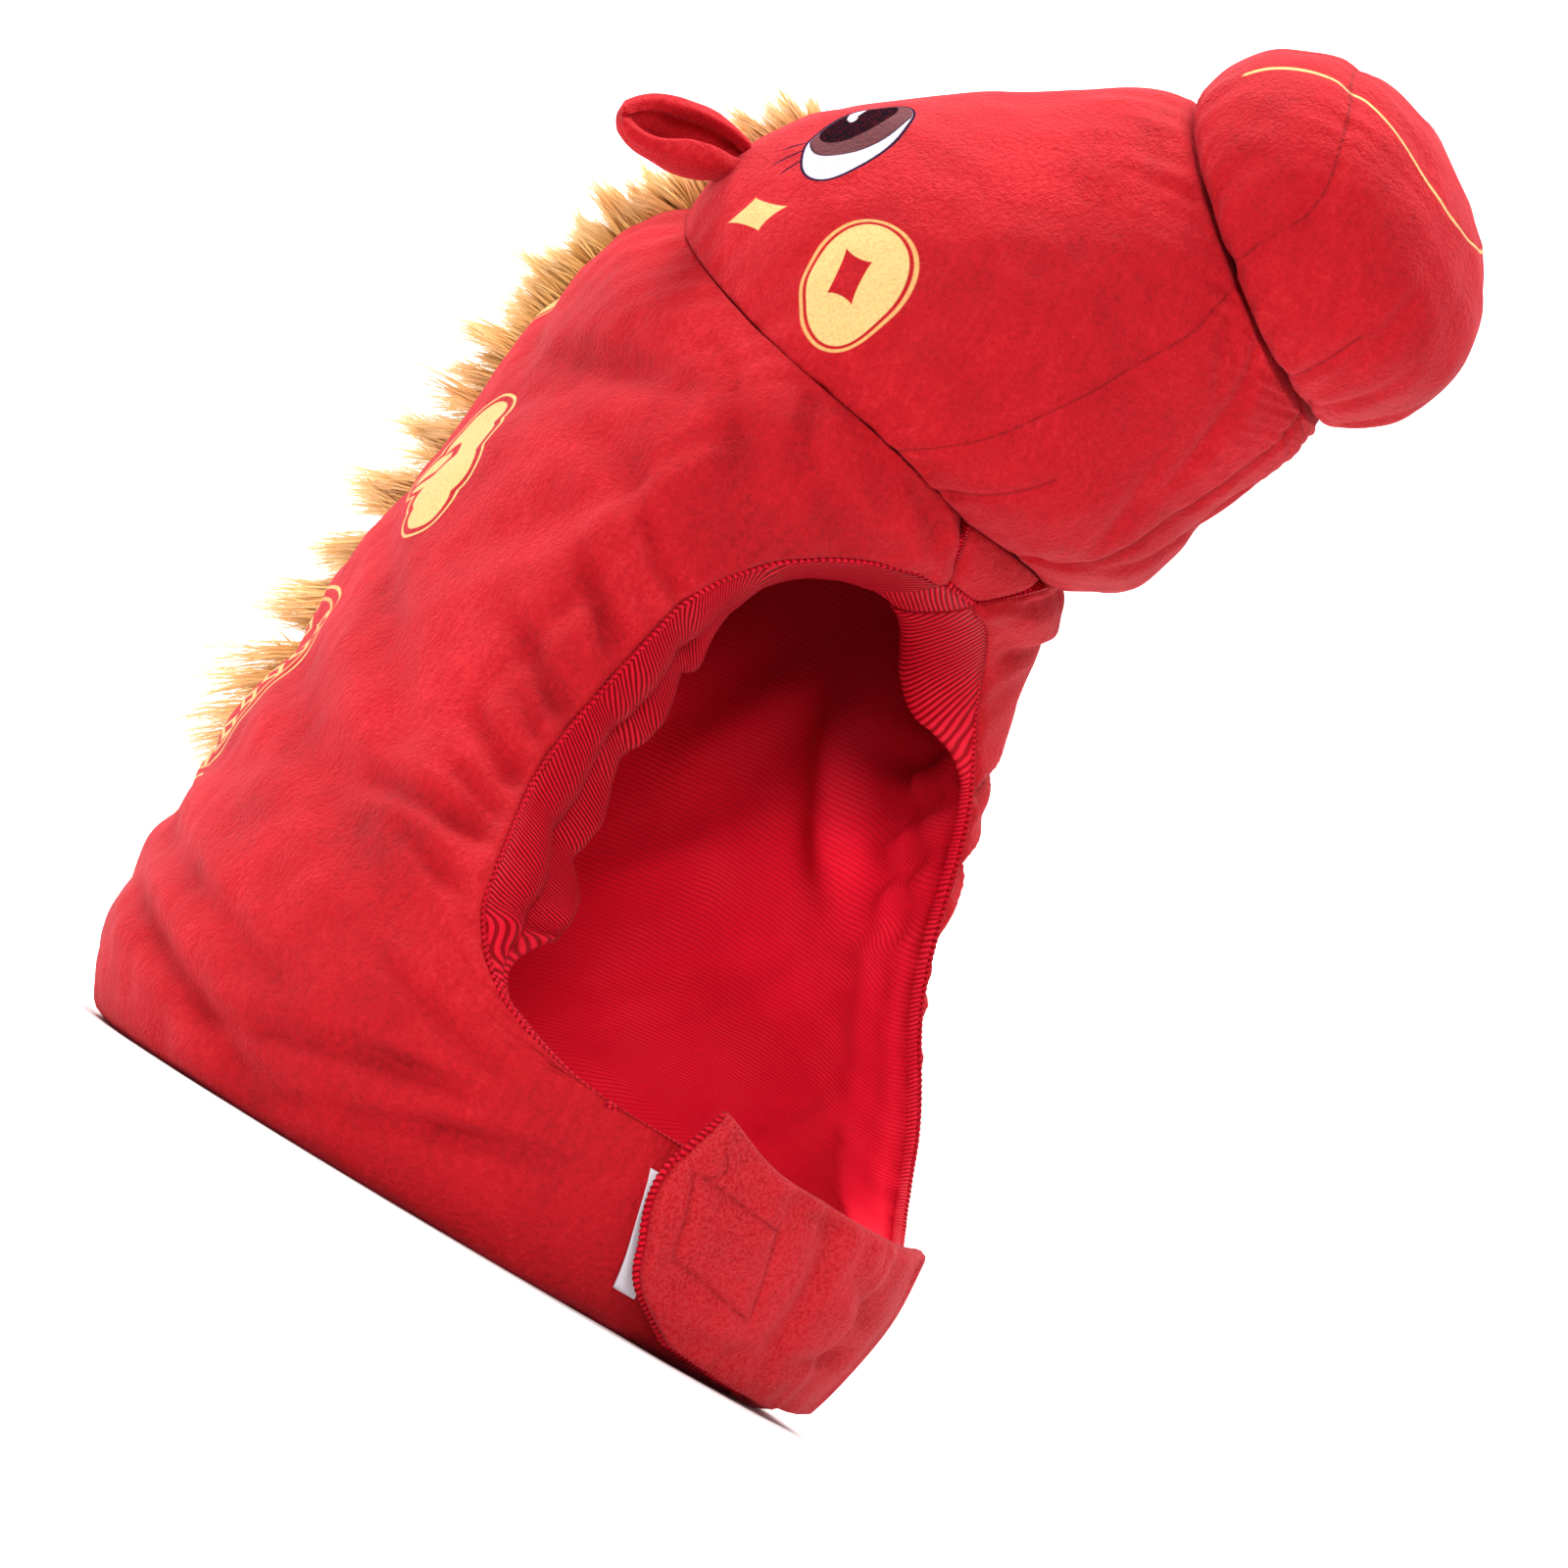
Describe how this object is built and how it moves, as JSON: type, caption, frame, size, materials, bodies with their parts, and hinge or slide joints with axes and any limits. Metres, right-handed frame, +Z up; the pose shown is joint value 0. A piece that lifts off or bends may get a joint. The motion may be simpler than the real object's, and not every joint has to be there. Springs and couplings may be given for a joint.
{
  "type": "horse costume hat",
  "caption": "Padded plush hood worn over the head, with a stuffed horse head on top, a fur mane down the back and a hook-and-loop chin tab.",
  "frame": {"origin": "middle of the bounding box, on the floor that the hem stands on", "axes": "+Z up, -Y the way the wearer looks, +X to the wearer's left"},
  "size_m": [0.2457, 0.3472, 0.4428],
  "materials": {
    "plush": "short-pile red velour plush",
    "tricot": "smooth red tricot lining",
    "fur": "long-pile golden brown fur",
    "hook_tape": "woven hook-and-loop tape",
    "satin": "blank woven label"
  },
  "bodies": {
    "root": {"hood_right": "plush", "hood_left": "plush", "brow_gusset": "plush", "horse_head": "plush", "muzzle": "plush", "ear_left": "plush", "ear_right": "plush", "chin_tab": "plush", "lining": "tricot", "mane": "fur", "hook_patch": "hook_tape", "care_label": "satin"}
  },
  "joints": []
}
